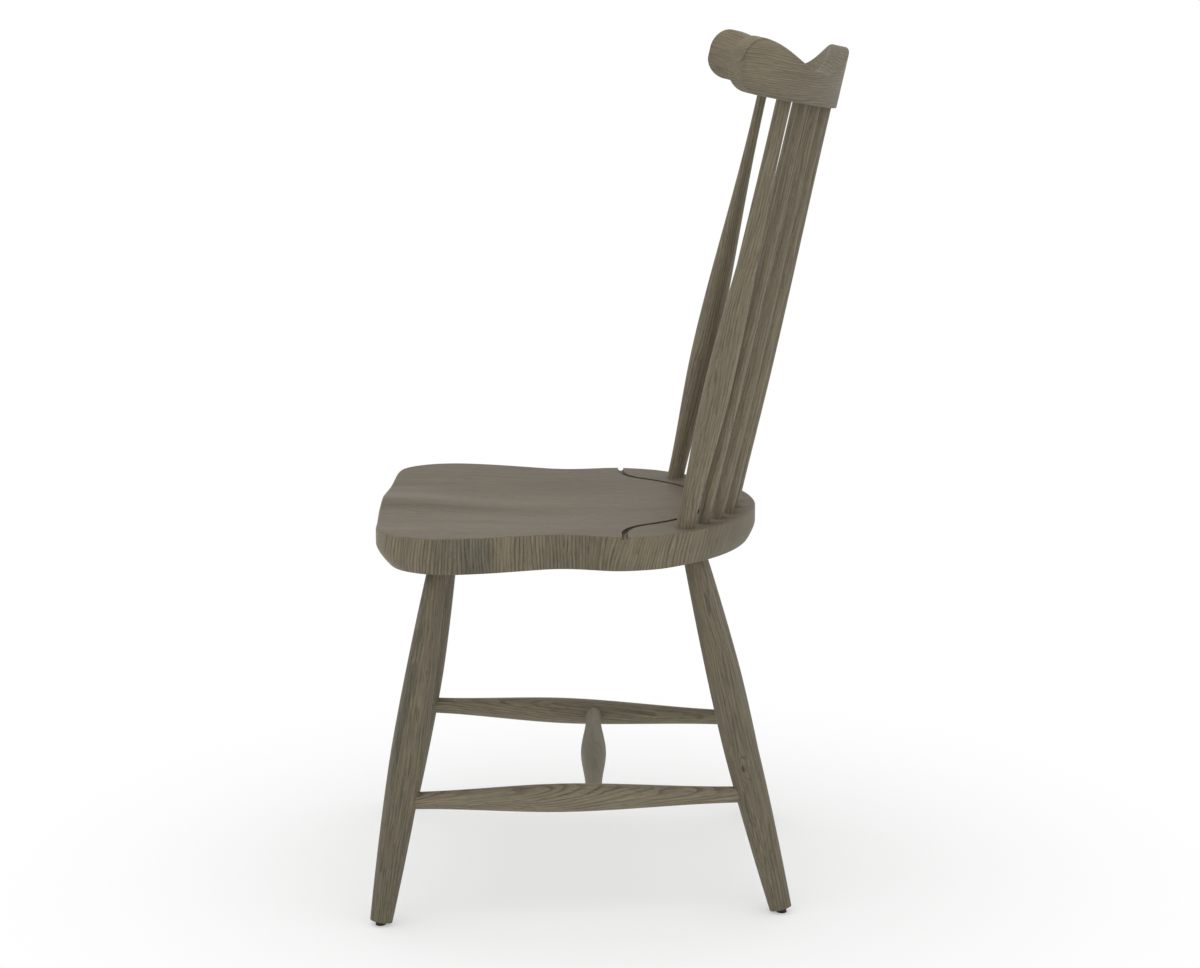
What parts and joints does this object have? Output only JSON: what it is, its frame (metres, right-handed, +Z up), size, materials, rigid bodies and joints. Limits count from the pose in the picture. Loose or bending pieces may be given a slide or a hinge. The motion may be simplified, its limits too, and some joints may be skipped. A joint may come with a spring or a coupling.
{
  "type": "spindle-back dining chair",
  "caption": "Stained wooden side chair: saddle seat, splayed turned legs with stretchers, and a fan of turned spindles under a bent crest rail with rounded ears.",
  "frame": {"origin": "on the floor under the middle of the chair's outline", "axes": "+Z up, the chair faces -Y, +X is the sitter's left"},
  "size_m": [0.5212, 0.5556, 1.0124],
  "materials": {
    "stained_wood": "satin grey-brown stain with open grain",
    "dark_nylon": "matte"
  },
  "bodies": {
    "root": {"seat": "stained_wood", "crest_rail": "stained_wood", "post_left": "stained_wood", "post_right": "stained_wood", "spindle_1": "stained_wood", "spindle_2": "stained_wood", "spindle_3": "stained_wood", "spindle_4": "stained_wood", "spindle_5": "stained_wood", "spindle_6": "stained_wood", "spindle_7": "stained_wood", "spindle_8": "stained_wood", "spindle_9": "stained_wood", "leg_front_left": "stained_wood", "leg_front_right": "stained_wood", "leg_rear_left": "stained_wood", "leg_rear_right": "stained_wood", "side_stretcher_left": "stained_wood", "side_stretcher_right": "stained_wood", "cross_stretcher": "stained_wood", "glide_front_left": "dark_nylon", "glide_front_right": "dark_nylon", "glide_rear_left": "dark_nylon", "glide_rear_right": "dark_nylon"}
  },
  "joints": []
}
